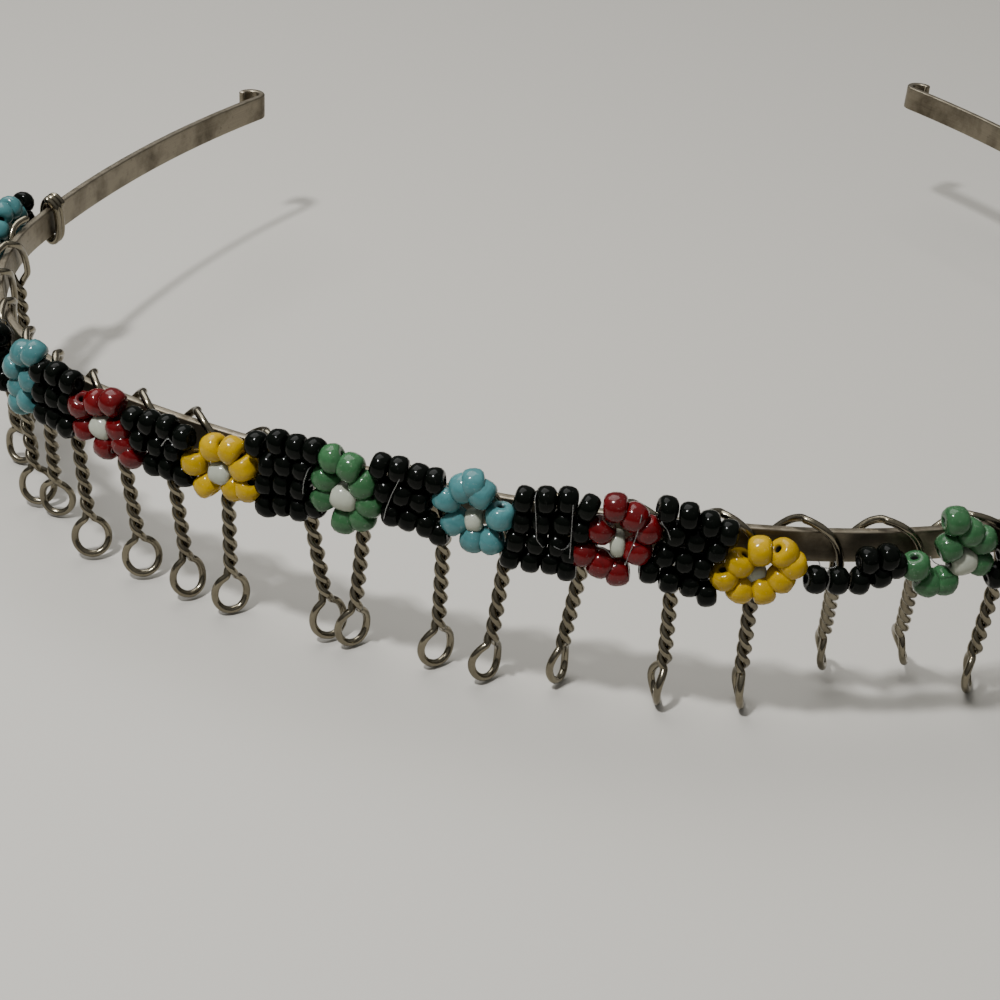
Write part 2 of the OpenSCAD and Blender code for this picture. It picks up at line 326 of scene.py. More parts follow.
def soft_path(points, step, reach):
    """An even path whose corners are rounded: a point becomes the bell-weighted mean of those near it.

    The path is first carried on past both ends, turned about the end point, so that the ends stay in place.
    """
    path = even_path(points, step)
    half = int(math.ceil(BELL_REACH * reach / step))
    head = 2 * path[0] - path[half:0:-1]
    tail = 2 * path[-1] - path[-2 : -half - 2 : -1]
    long_path = np.concatenate([head, path, tail])
    bell = np.exp(-0.5 * (np.arange(-half, half + 1) * step / reach) ** 2)
    bell /= bell.sum()
    return np.stack([np.convolve(long_path[:, k], bell, "valid") for k in range(3)], 1)


def circles(u, v, sides):
    """Unit circles cos t u + sin t v, one for each pair of square unit vectors u and v."""
    t = np.linspace(0, 2 * math.pi, sides, endpoint=False)
    return np.cos(t)[None, :, None] * u[:, None] + np.sin(t)[None, :, None] * v[:, None]


def tube(path, radius, sides):
    """A round section carried along a path, with rounded ends.

    The section at each point is radius (cos t u + sin t v), where u is the path's direction crossed with
    the first axis, and v is the direction crossed with u. Smaller sections close each end as half a ball.
    """
    direction = unit(np.gradient(path, axis=0))
    u = unit(np.cross(direction, [1.0, 0.0, 0.0]))
    v = np.cross(direction, u)
    ends = np.radians(TUBE_END_ANGLES)
    start = path[0] - radius * np.sin(ends)[:, None] * direction[0]
    finish = path[-1] + radius * np.sin(ends[::-1])[:, None] * direction[-1]
    centres = np.concatenate([start, path, finish])
    width = np.concatenate([np.cos(ends), np.ones(len(path)), np.cos(ends[::-1])]) * radius
    width = np.maximum(width, radius * TUBE_END_SHARE)
    nearest = np.clip(np.arange(len(centres)) - len(ends), 0, len(path) - 1)
    points = centres[:, None] + width[:, None, None] * circles(u[nearest], v[nearest], sides)
    return points.reshape(-1, 3), grid_faces(len(centres), sides)[:, ::-1]


def bead_profile(length, radius, hole):
    """Closed outline of a drilled seed bead's half section, as (distance along the hole, distance from it).

    Outside, the two are powers of the sine and the cosine of an angle, which gives a ring with full round
    shoulders. Two more points run back along the hole.
    """
    t = np.radians(BEAD_ANGLES)
    along = 0.5 * length * np.sign(np.sin(t)) * np.abs(np.sin(t)) ** SHOULDER_ALONG
    out = hole + (radius - hole) * np.cos(t) ** SHOULDER_OUT
    inside = HOLE_ALONG * length
    return np.append(along, [inside, -inside]), np.append(out, [hole * HOLE_WIDTH] * HOLE_POINTS)


def turned_beads(centres, hole_ways, out_ways, length, radius, hole, sides, stretch):
    """Many seed beads as one mesh: the bead's outline turned about its hole and copied to each centre.

    A point of a bead is its centre + along * hole_way + out * (cos t a + sin t b), where a is the bead's
    outward way made square to the hole, and b is square to both. stretch scales each bead as (length,
    girth). The third result says which bead each point belongs to, and the fourth is 1 in the holes.
    """
    along, out = bead_profile(length, radius, hole)
    hole_ways = unit(hole_ways)
    a = unit(out_ways - (out_ways * hole_ways).sum(1, keepdims=True) * hole_ways)
    ring = circles(a, np.cross(hole_ways, a), sides)
    lengthwise = (along[None, :] * stretch[:, :1])[:, :, None, None] * hole_ways[:, None, None, :]
    girth = (out[None, :] * stretch[:, 1:])[:, :, None, None] * ring[:, None]
    points = centres[:, None, None, :] + lengthwise + girth
    one = grid_faces(len(along), sides, close_rows=True)
    per_bead = len(along) * sides
    faces = (np.arange(len(centres))[:, None, None] * per_bead + one[None]).reshape(-1, 4)
    owner, place = np.divmod(np.arange(len(centres) * per_bead), per_bead)
    in_hole = (place >= (len(along) - HOLE_POINTS) * sides).astype(float)
    return points.reshape(-1, 3), faces, owner, in_hole


def join(parts):
    """Several (points, faces) meshes as one."""
    points, faces, start = [], [], 0
    for p, f in parts:
        points.append(p)
        faces.append(f + start)
        start += len(p)
    return np.concatenate(points), np.concatenate(faces)


def put_mesh(name, points, faces, material, floats=None, uv=None, caps=()):
    """Makes a smooth mesh object from arrays in millimetres.

    floats are point attributes, uv is one pair a point, and caps are further faces with more corners.
    """
    mesh = bpy.data.meshes.new(name)
    mesh.from_pydata((points * MM).tolist(), [], faces.tolist() + list(caps))
    for key, values in (floats or {}).items():
        layer = mesh.attributes.new(key, "FLOAT", "POINT")
        layer.data.foreach_set("value", np.asarray(values, np.float32))
    if uv is not None:
        layer = mesh.uv_layers.new(name="UVMap")
        corner = np.empty(len(mesh.loops), np.int32)
        mesh.loops.foreach_get("vertex_index", corner)
        layer.data.foreach_set("uv", uv[corner].astype(np.float32).ravel())
    mesh.shade_smooth()
    mesh.update()
    mesh.materials.append(material)
    made = bpy.data.objects.new(name, mesh)
    bpy.context.scene.collection.objects.link(made)
    return made


def seat(made, slot, *nodes):
    """The piece rides on the part and stands for its CAD nodes, which are hidden; slot is not used."""
    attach(made, "root")
    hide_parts(*nodes)


# Materials

# A noise's scale is per metre of the object, and a bump's distance and the glass's scatter are in metres.
WHITE = (1, 1, 1, 1)
BARE_STEEL = (0.36, 0.32, 0.25, 1)
DUST = (0.55, 0.54, 0.5, 1)
# Near black that the glass takes inside the beads' holes: painted shade
PAINTED_HOLE_SHADE = (0.01, 0.01, 0.01, 1)
# Lighter colour of the thread's rougher stretches: partly real dullness, partly painted sheen
THREAD_PAINTED_SHEEN = (0.13, 0.13, 0.125, 1)
# Metal: how far flecks darken it, scratches lighten it and worn edges bare it, what shade and scratches add
# to its roughness, and what flecks add to its height
FLECKS_DARKEN = 0.35
SCRATCHES_LIGHTEN = 0.35
EDGES_BARE = 0.45
SHADE_ROUGHENS = 0.22
SCRATCHES_ROUGHEN = 0.08
FLECKS_RAISE = 0.5
# Glass: how far its tone goes to the deep colour, its roughness, and what dust and holes add to that
TONE_SHARE = 0.4
GLASS_ROUGHNESS = 0.13
DUST_ROUGHENS = 0.5
HOLES_ROUGHEN = 0.4
# Share of its colour that the floor keeps in its clouds
FLOOR_DIM = 0.97
# Kinds of bead glass: the share of its colour that its depths keep, how dusty it is, how much it reflects,
# how much light passes through it, and how much scatters inside it
GLASS_KINDS = {
    "blue": (0.45, 0.12, 0.3, 0, 0),
    "red": (0.25, 0.12, 0.3, 0.15, 0),
    "yellow": (0.6, 0.12, 0.3, 0, 0.1),
    "green": (0.5, 0.12, 0.3, 0, 0.3),
    "black": (0.4, 0.02, 0.1, 0, 0),
    "pearl": (0.8, 0.12, 0.3, 0, 0.3),
}


def node(tree, kind, settings=None, **values):
    """A new node with its properties and its input values; a value that is a socket is linked instead."""
    made = tree.nodes.new(kind)
    for key, value in (settings or {}).items():
        setattr(made, key, value)
    for key, value in values.items():
        socket = made.inputs[int(key[1:])] if key[0] == "_" else made.inputs[key.replace("_", " ")]
        if isinstance(value, bpy.types.NodeSocket):
            tree.links.new(value, socket)
        else:
            socket.default_value = value
    return made


def noise(tree, place, scale, detail, **values):
    """Cloudy noise at a place, as a number."""
    return node(tree, "ShaderNodeTexNoise", Vector=place, Scale=scale, Detail=detail, **values).outputs[0]


def ramp(tree, value, low, high, first=0.0, last=1.0):
    """A number brought from low..high to first..last."""
    return node(tree, "ShaderNodeMapRange", _0=value, _1=low, _2=high, _3=first, _4=last).outputs[0]


def mix(tree, amount, first, second, blend="MIX"):
    """Two colours mixed."""
    how = {"data_type": "RGBA", "blend_type": blend}
    return node(tree, "ShaderNodeMix", how, _0=amount, _6=first, _7=second).outputs[2]


def reckon(tree, how, first, second):
    """One step of arithmetic."""
    return node(tree, "ShaderNodeMath", {"operation": how}, _0=first, _1=second).outputs[0]


def times(tree, first, second):
    """The product of two numbers."""
    return reckon(tree, "MULTIPLY", first, second)


def plus(tree, first, second):
    """The sum of two numbers."""
    return reckon(tree, "ADD", first, second)


def own_place(tree):
    """A point's place in its object."""
    return node(tree, "ShaderNodeTexCoord").outputs["Object"]


def attribute(tree, name):
    """A point attribute of the mesh, as a number."""
    return node(tree, "ShaderNodeAttribute", {"attribute_name": name}).outputs["Fac"]


def shared_group(name, build, **inputs):
    """The node group of that name, which is built when it is first asked for.

    inputs are the kinds of its inputs, and build turns these into its colour, its roughness and its height.
    """
    if name in bpy.data.node_groups:
        return bpy.data.node_groups[name]
    group = bpy.data.node_groups.new(name, "ShaderNodeTree")
    outputs = {"Color": "Color", "Roughness": "Float", "Height": "Float"}
    for way, sockets in (("INPUT", inputs), ("OUTPUT", outputs)):
        for key, kind in sockets.items():
            label = key.replace("_", " ")
            group.interface.new_socket(name=label, in_out=way, socket_type=f"NodeSocket{kind}")
    made = build(group, group.nodes.new("NodeGroupInput").outputs)
    for value, socket in zip(made, group.nodes.new("NodeGroupOutput").inputs):
        group.links.new(value, socket)
    return group


def metal_wear(group, given):
    """Metal that has been handled: cloudy tarnish, small flecks of it, and fine scratches along one way.

    Tarnish and flecks are two sizes of noise. The scratches are noise too, at a place that the material has
    stretched along the metal.
    """
    clouds = noise(group, given["Position"], scale=160, detail=5, Roughness=0.62)
    spots = noise(group, given["Position"], scale=900, detail=3, Roughness=0.7)
    lines = noise(group, given["Scratch Position"], scale=1, detail=4, Roughness=0.75)
    stain = times(group, ramp(group, clouds, low=0.46, high=0.68), given["Stain Amount"])
    fleck = times(group, ramp(group, spots, low=0.58, high=0.72), FLECKS_DARKEN)
    scratched = ramp(group, lines, low=0.35, high=0.7)
    shade = reckon(group, "MAXIMUM", stain, fleck)
    colour = mix(group, shade, given["Metal"], given["Stain"])
    colour = mix(group, times(group, scratched, SCRATCHES_LIGHTEN), colour, WHITE, "OVERLAY")
    rough = plus(group, given["Clean Roughness"], times(group, shade, SHADE_ROUGHENS))
    rough = plus(group, rough, times(group, scratched, SCRATCHES_ROUGHEN))
    return colour, rough, plus(group, scratched, times(group, spots, FLECKS_RAISE))


def pressed_glass(group, given):
    """Pressed glass: a little lighter or darker by the bead, with faint swirls and dust, and painted shade
    that darkens the holes.
    """
    swirl = noise(group, given["Position"], scale=700, detail=3, Distortion=1.2)
    grime = noise(group, given["Position"], scale=2600, detail=4, Roughness=0.7)
    tone = plus(group, ramp(group, swirl, low=0.35, high=0.7), given["Bead Tint"])
    body = mix(group, times(group, tone, TONE_SHARE), given["Glass"], given["Deep"])
    dust = times(group, ramp(group, grime, low=0.6, high=0.72), given["Dust"])
    # In the holes the colour goes to near black: painted shade
    colour = mix(group, given["Hole"], mix(group, dust, body, DUST), PAINTED_HOLE_SHADE)
    rough = plus(group, GLASS_ROUGHNESS, times(group, dust, DUST_ROUGHENS))
    rough = plus(group, rough, times(group, given["Hole"], HOLES_ROUGHEN))
    return colour, rough, swirl


def new_material(name):
    """An empty node material with its Principled shader and its output."""
    material = bpy.data.materials.new(name)
    material.use_nodes = True
    tree = material.node_tree
    tree.nodes.clear()
    shader = tree.nodes.new("ShaderNodeBsdfPrincipled")
    out = tree.nodes.new("ShaderNodeOutputMaterial")
    tree.links.new(shader.outputs[0], out.inputs[0])
    return material, tree, shader


def set_all(shader, **values):
    """Plain values on the shader's own sockets."""
    for key, value in values.items():
        shader.inputs[key.replace("_", " ")].default_value = value


def dress(tree, shader, colour, rough, height=None, strength=0.0, distance=0.0):
    """Leads a colour and a roughness to the shader, and a height by way of a bump."""
    tree.links.new(colour, shader.inputs["Base Color"])
    tree.links.new(rough, shader.inputs["Roughness"])
    if height is not None:
        bump = node(tree, "ShaderNodeBump", Strength=strength, Distance=distance, Height=height)
        tree.links.new(bump.outputs[0], shader.inputs["Normal"])


def worn_metal(tree, place, scratches, settings, stain_amount, rough):
    """What the wear group gives for a metal of the settings' two colours."""
    group = shared_group(
        "Metal wear", metal_wear, Position="Vector", Scratch_Position="Vector", Metal="Color",
        Stain="Color", Stain_Amount="Float", Clean_Roughness="Float",
    )
    return node(
        tree, "ShaderNodeGroup", {"node_tree": group},
        Position=place, Scratch_Position=scratches, Metal=tuple(settings.metal_colour),
        Stain=tuple(settings.stain_colour), Stain_Amount=stain_amount, Clean_Roughness=rough,
    ).outputs


def wire_metal(comb):
    """Round nickelled wire: wear by object position, with drawing lines along its height."""
    material, tree, shader = new_material("Nickelled comb wire")
    place = own_place(tree)
    lines = node(tree, "ShaderNodeMapping", Vector=place, Scale=(2500, 2500, 500)).outputs[0]
    worn = worn_metal(tree, place, lines, comb, stain_amount=0.5, rough=0.12)
    dress(tree, shader, worn["Color"], worn["Roughness"], worn["Height"], strength=0.12, distance=0.00005)
    set_all(shader, Metallic=1.0)
    return material


def band_metal(band):
    """Satin band: brush lines by the band's UV map, so that they follow its bend, and bare bright edges."""
    material, tree, shader = new_material("Satin band steel")
    place = own_place(tree)
    along = node(tree, "ShaderNodeUVMap", {"uv_map": "UVMap"}).outputs[0]
    lines = node(tree, "ShaderNodeMapping", Vector=along, Scale=(140, 9000, 1)).outputs[0]
    worn = worn_metal(tree, place, lines, band, stain_amount=0.75, rough=0.34)
    patches = ramp(tree, noise(tree, place, scale=600, detail=3), low=0.35, high=0.55)
    bare = times(tree, times(tree, attribute(tree, "edge"), patches), EDGES_BARE)
    colour = mix(tree, bare, worn["Color"], BARE_STEEL)
    dress(tree, shader, colour, worn["Roughness"], worn["Height"], strength=0.16, distance=0.00006)
    set_all(shader, Metallic=1.0)
    return material


def bead_glass(beads, kind):
    """The glass of one kind of bead, made once and found again by its name."""
    name = f"{kind.capitalize()} bead glass"
    if name in bpy.data.materials:
        return bpy.data.materials[name]
    material, tree, shader = new_material(name)
    deep_share, dust, gloss, clear, milky = GLASS_KINDS[kind]
    glass = tuple(getattr(beads, f"{kind}_colour"))
    group = shared_group(
        "Bead glass", pressed_glass, Position="Vector", Glass="Color", Deep="Color", Bead_Tint="Float",
        Hole="Float", Dust="Float",
    )
    made = node(
        tree, "ShaderNodeGroup", {"node_tree": group},
        Position=own_place(tree), Glass=glass, Deep=(*(c * deep_share for c in glass[:3]), 1),
        Bead_Tint=attribute(tree, "tint"), Hole=attribute(tree, "hole"), Dust=dust,
    ).outputs
    dress(tree, shader, made["Color"], made["Roughness"], made["Height"], strength=0.1, distance=0.0001)
    set_all(shader, IOR=1.5, Specular_IOR_Level=gloss, Transmission_Weight=clear, Subsurface_Weight=milky)
    if milky:
        set_all(shader, Subsurface_Radius=(1.0, 1.0, 1.0), Subsurface_Scale=0.0006)
    return material


def thread_material(thread):
    """Clear sewing thread: light passes through it, with small rougher stretches along it whose lighter
    colour is a painted sheen.
    """
    material, tree, shader = new_material("Clear nylon thread")
    dullness_and_sheen = noise(tree, own_place(tree), scale=1500, detail=3)
    # Where the noise is high the thread is rougher and painted lighter: the lighter colour is painted sheen
    colour = mix(tree, ramp(tree, dullness_and_sheen, low=0.35, high=0.7), tuple(thread.colour), THREAD_PAINTED_SHEEN)
    dress(tree, shader, colour, ramp(tree, dullness_and_sheen, low=0.3, high=0.7, first=0.08, last=0.35))
    set_all(shader, IOR=1.53, Specular_IOR_Level=0.12, Transmission_Weight=0.2)
    return material


def floor_material(stage):
    """Plain pale floor with the faintest cloudiness."""
    material, tree, shader = new_material("Pale floor")
    pale = tuple(stage.floor_colour)
    dim = (*(c * FLOOR_DIM for c in pale[:3]), 1)
    colour = mix(tree, noise(tree, own_place(tree), scale=6, detail=3), pale, dim)
    tree.links.new(colour, shader.inputs["Base Color"])
    set_all(shader, Roughness=0.85)
    return material


# Settings


def length_setting(label, words, millimetres):
    """A length that the panel shows in Blender's own unit."""
    return FloatProperty(
        name=label, description=words, default=millimetres * MM, min=0, unit="LENGTH", precision=5
    )


def colour_setting(label, words, colour):
    """A colour for the panel."""
    return FloatVectorProperty(
        name=label, description=words, default=(*colour, 1), size=4, min=0, max=1, subtype="COLOR"
    )


class BandSettings(PropertyGroup):
    """The flat steel band."""

    height: length_setting("Height", "Height of the flat band", 3.4)
    thickness: length_setting("Thickness", "Thickness of the band", 0.85)
    rounding: length_setting("Edge rounding", "Radius of the band's long edges", 0.2)
    metal_colour: colour_setting("Metal", "Colour of the band where it is clean", (0.2, 0.175, 0.13))
    stain_colour: colour_setting("Stain", "Colour of the tarnish on the band", (0.055, 0.043, 0.028))


class CombSettings(PropertyGroup):
    """The wire comb wound along the band."""

    wire: length_setting("Wire", "Diameter of the comb's wire", 0.78)
    eye_width: length_setting("Eye width", "Outside width of the eye at a tooth's tip", 4.2)
    eye_height: length_setting("Eye height", "Height of the eye, from the end of the twist to the tip", 4.5)
    half_turn: length_setting("Half turn", "Length of one half turn of a tooth's twist", 1.75)
    metal_colour: colour_setting("Metal", "Colour of the wire", (0.19, 0.17, 0.125))
    stain_colour: colour_setting("Stain", "Colour of the tarnish on the wire", (0.07, 0.058, 0.042))


class BeadSettings(PropertyGroup):
    """The seed beads."""

    diameter: length_setting("Diameter", "Diameter of a seed bead", 2.66)
    petal: length_setting("Petal length", "Length of a petal's bead along its hole", 2.35)
    petal_diameter: length_setting("Petal diameter", "Diameter of a petal's bead", 2.95)
    block: length_setting("Block length", "Length of a black bead along its hole", 1.95)
    hole: length_setting("Hole", "Diameter of the hole through a bead", 0.7)
    blue_colour: colour_setting("Blue", "Colour of the blue beads", (0.062, 0.19, 0.2))
    red_colour: colour_setting("Red", "Colour of the red beads", (0.14, 0.003, 0.005))
    yellow_colour: colour_setting("Yellow", "Colour of the yellow beads", (0.44, 0.275, 0.0))
    green_colour: colour_setting("Green", "Colour of the green beads", (0.038, 0.12, 0.048))
    black_colour: colour_setting("Black", "Colour of the black beads", (0.002, 0.003, 0.002))
    pearl_colour: colour_setting("Pearl", "Colour of the pale beads", (0.38, 0.4, 0.33))
    seed: IntProperty(name="Seed", description="Which unevenness the beads are strung with", default=7)


class ThreadSettings(PropertyGroup):
    """The clear thread that ties the beads on."""

    diameter: length_setting("Diameter", "Diameter of the sewing thread", 0.1)
    colour: colour_setting("Colour", "Colour of the clear thread", (0.06, 0.062, 0.06))


class StageSettings(PropertyGroup):
    """Floor, lights and camera."""

    floor_colour: colour_setting("Floor", "Colour of the floor", (0.44, 0.425, 0.39))
    lens: FloatProperty(
        name="Lens", description="The camera's focal length", default=62.6, min=1, subtype="DISTANCE_CAMERA"
    )
    light: FloatProperty(
        name="Light", description="Share of the lights' own power", default=1.0, min=0, subtype="FACTOR"
    )


# Band

# Sections in each curl and along the rest, and points in a corner and inside a long side of the section
CURL_SECTIONS = 22
FLAT_SECTIONS = 420
CORNER_POINTS = 5
SIDE_POINTS = 4
# Each end of the band closes with smaller sections, by their angle round its rounding, and no point of them
# comes nearer the mid-line than the least half
END_ROUNDING = 0.3
BAND_END_ANGLES = (90, 65, 40, 20)
LEAST_HALF = 0.002
# Share of the edge's rounding, down from the very edge, that is worn bare
BARE_SHARE = 0.5


def band_section(height, thickness, rounding):
    """Outline of the band's section as (towards the head, up): a rectangle with quarter-round corners."""
    turn = np.radians(np.linspace(0, 90, CORNER_POINTS))
    corners = []
    for k, (side, end) in enumerate([(1, 1), (-1, 1), (-1, -1), (1, -1)]):
        angle = turn + k * math.pi / 2
        middle = np.array([side * (thickness / 2 - rounding), end * (height / 2 - rounding)])
        corners.append(middle + rounding * np.stack([np.cos(angle), np.sin(angle)], 1))
    share = np.linspace(0, 1, SIDE_POINTS + 2)[1:-1, None]
    outer, inner = (corners[k - 3][0] * share + corners[k][-1] * (1 - share) for k in (1, 3))
    return np.concatenate([*corners[:2], outer, *corners[2:], inner])


def band_stations():
    """Arc position of each section of the band, and how much smaller it is all round.

    The sections at an end stand r (1 - sin t) inside it and are r (1 - cos t) smaller, where r is the end's
    rounding and t their angle round it.
    """
    left, right = sum(arc_lengths(ARCS_LEFT)), sum(arc_lengths(ARCS_RIGHT))
    flat_left, flat_right = sum(arc_lengths(ARCS_LEFT[:-1])), sum(arc_lengths(ARCS_RIGHT[:-1]))
    s = np.concatenate(
        [
            np.linspace(-left, -flat_left, CURL_SECTIONS, endpoint=False),
            np.linspace(-flat_left, flat_right, FLAT_SECTIONS, endpoint=False),
            np.linspace(flat_right, right, CURL_SECTIONS + 1),
        ]
    )
    angle = np.radians(BAND_END_ANGLES)
    back = END_ROUNDING * (1 - np.sin(angle))
    smaller = END_ROUNDING * (1 - np.cos(angle))
    s = np.clip(s, -left + END_ROUNDING, right - END_ROUNDING)
    stations = np.concatenate([-left + back, s, right - back[::-1]])
    return stations, np.concatenate([smaller, np.zeros(len(s)), smaller[::-1]])


class HEADBAND_OT_band(Operator):
    """Carries the band's rounded section along its mid-line, tips rounded and curled"""

    bl_idname = "headband.band"
    bl_label = "Build the band"

    def execute(self, context):
        band = context.scene.headband_band
        height, rounding = band.height / MM, band.rounding / MM
        section = band_section(height, band.thickness / MM, rounding)
        s, smaller = band_stations()
        size = np.sign(section) * np.maximum(np.abs(section) - smaller[:, None, None], LEAST_HALF)
        along = np.broadcast_to(s[:, None], size.shape[:2])
        points = on_band(np.stack([along, size[..., 0], size[..., 1]], -1)).reshape(-1, 3)
        first = np.arange(len(section))
        caps = [first.tolist()[::-1], (first + len(points) - len(section)).tolist()]
        round_section = np.append(0, np.cumsum(np.linalg.norm(np.diff(section, axis=0), axis=1)))
        uv = np.stack([np.repeat(s, len(section)) * MM, np.tile(round_section, len(s)) * MM], 1)
        edge = np.tile(np.abs(section[:, 1]) > height / 2 - BARE_SHARE * rounding, len(s)).astype(float)
        faces = grid_faces(len(s), len(section))
        made = put_mesh("band", points, faces, band_metal(band), {"edge": edge}, uv, caps)
        seat(made, "band_steel", "strip")
        return {"FINISHED"}


# Comb

COMB_SEED = 11
WIRE_SIDES = 10
# Step of a tooth's path and how widely its corners are rounded, and the same for the winding's ends
TOOTH_STEP, TOOTH_ROUNDING = 0.16, 0.18
WRAP_STEP, WRAP_ROUNDING = 0.2, 0.25
# The wire's way down from an arch: powers of its bow on both sides, and points in its bend and on its leg
OUTER_BOW = 0.5
INNER_BOW = 0.85
ARCH_POINTS = 14
# From the wire's foot to the pivot of a tooth, where the twist begins below it and ends above the eye, its
# points in a half turn, and how far a strand runs from the stem's middle, in the wire's radii
SHOULDER = 0.9
TWIST_BEGINS = 0.25
TWIST_ENDS = 0.1
TWIST_POINTS = 9
STRAND_SPREAD = 1.05
# An eye: half the angle of its opening, its points, how much of an egg it is, the shares by which its width
# and height vary, and the range of its bow
EYE_OPENING = 15
EYE_POINTS = 46
EYE_EGG = 0.1
WIDTH_RANGE = (-0.04, 0.03)
HEIGHT_RANGE = (-0.03, 0.0)
BULGE_RANGE = (0.35, 0.6)
# The close turns at the winding's ends: room to the last bead, turns, pitch, points, and how early in a
# turn the wire reaches the band's edge
WRAP_GAP = 0.8
WRAP_TURNS = 2.15
WRAP_PITCH = 0.84
WRAP_POINTS = 170
WRAP_EARLY = 1.9


def lean(points, along, inward):
    """Points turned about the tooth's pivot: first towards the head, then along the band."""
    a, b = math.radians(inward), math.radians(-along)
    x, y, z = points.T
    y, z = y * math.cos(a) - z * math.sin(a), y * math.sin(a) + z * math.cos(a)
    x, z = x * math.cos(b) + z * math.sin(b), -x * math.sin(b) + z * math.cos(b)
    return np.stack([x, y, z], 1)


def wire_runs(comb, band):
    """Radius of the wire, and how far its middle lies from the mid-line on the outer and the inner side."""
    radius, half = comb.wire / MM / 2, band.thickness / MM / 2
    return radius, half + OUTER_GAP + radius, half + INNER_GAP + radius


def over_the_edge(reach, off, foot, top, bow):
    """Wire from the middle of the arch over the band's top edge down one face to the tooth's foot.

    A quarter circle of radius off falls from the top to the face, then a straight leg runs to the foot.
    With u as the share of the height above the foot, the wire stands reach (1 - (1 - u^2)^bow) from the
    tooth along the band, which is a quarter of an ellipse where bow is 0.5.
    """
    t = np.radians(np.linspace(0, 90, ARCH_POINTS))
    leg = np.linspace(top - abs(off), foot, ARCH_POINTS)[1:]
    z = np.concatenate([top - abs(off) * (1 - np.cos(t)), leg])
    y = np.concatenate([off * np.sin(t), np.full(len(leg), off)])
    u = np.clip((z - foot) / (top - foot), 0, 1)
    return np.stack([reach * (1 - (1 - u**2) ** bow), y, z], 1)


def eye_path(width, height, bulge, side, turn, along, inward):
    """The wire round the eye, from one side of the twist's end to the other, with that end at (0, 0, 0).

    It is an egg: width / 2 sin t (1 + egg cos t) across and -height / 2 (1 + cos t) down, which leaves it
    open where it meets the twist. The whole is bowed sideways by bulge sin(pi depth / height), leans along
    the band and towards the head, and turns by turn.
    """
    t = np.radians(np.linspace(180 - EYE_OPENING, EYE_OPENING - 180, EYE_POINTS))
    y = side * width / 2 * np.sin(t) * (1 + EYE_EGG * np.cos(t))
    z = -height / 2 * (1 + np.cos(t))
    x, y, z = lean(np.stack([-bulge * np.sin(np.pi * -z / height), y, z], 1), along, inward).T
    c, s = math.cos(math.radians(-turn)), math.sin(math.radians(-turn))
    return np.stack([c * x - s * y, s * x + c * y, z], 1)


def tooth_path(k, comb, band, rng):
    """The wire of one tooth, from the arch on its left to the arch on its right.

    Down the outer face, round the other strand of the stem as a helix, round the eye, back up the stem as
    the opposite helix, and up the inner face. The helix is strand (cos t, sin t) with t half a turn per
    half_turn; the eye's own turn is spread evenly over it.
    """
    s, along, inward, turn, eye_along, eye_inward = TEETH[k]
    before = TOOTH_PITCH if k == 0 else s - TEETH[k - 1][0]
    after = TOOTH_PITCH if k == len(TEETH) - 1 else TEETH[k + 1][0] - s
    wire_r, outer, inner = wire_runs(comb, band)
    foot = -band.height / MM / 2 - 2 * wire_r
    top = band.height / MM / 2 + 2 * wire_r + TOP_GAP
    pivot = foot - SHOULDER
    stem = MIDLINE_HEIGHT + pivot - comb.eye_height / MM
    turns = round(stem / (comb.half_turn / MM))
    w = np.linspace(TWIST_BEGINS, stem - TWIST_ENDS, TWIST_POINTS * turns)
    twist = (math.pi * turns - math.radians(turn)) * w / stem - math.pi / 2
    strand = wire_r * STRAND_SPREAD
    x, y = strand * np.cos(twist), strand * np.sin(twist)
    down, up = np.stack([x, y, -w], 1), np.stack([-x, -y, -w], 1)[::-1]
    side = 1 if turns % 2 else -1
    wide = comb.eye_width / MM * (1 + rng.uniform(*WIDTH_RANGE)) - 2 * wire_r
    high = comb.eye_height / MM * (1 + rng.uniform(*HEIGHT_RANGE)) - wire_r
    bulge = rng.uniform(*BULGE_RANGE)
    eye = eye_path(wide, high, bulge, side, turn, eye_along, eye_inward) - [0, 0, stem]
    hanging = lean(np.concatenate([down, eye, up]), along, inward) + [0, 0, pivot]
    front = over_the_edge(-before / 2, -outer, foot, top, OUTER_BOW)
    back = over_the_edge(after / 2, inner, foot, top, INNER_BOW)[::-1]
    return soft_path(np.concatenate([front, hanging, back]) + [s, 0, 0], TOOTH_STEP, TOOTH_ROUNDING)


def wrap_path(last_bead, way, comb, band):
    """Two close turns round the band, moved on by the pitch each turn.

    At an angle t round the band the wire is off sin t towards the head. Its height is half the band's times
    early cos t, up to the band's edge, plus off cos^3 t.
    """
    off = wire_runs(comb, band)[2]
    t = np.linspace(0, 2 * math.pi * WRAP_TURNS, WRAP_POINTS)
    half = band.height / MM / 2
    z = np.clip(WRAP_EARLY * np.cos(t), -1, 1) * half + off * np.cos(t) ** 3
    x = last_bead + way * (WRAP_GAP + WRAP_PITCH * t / (2 * math.pi))
    return soft_path(np.stack([x, off * np.sin(t), z], 1), WRAP_STEP, WRAP_ROUNDING)


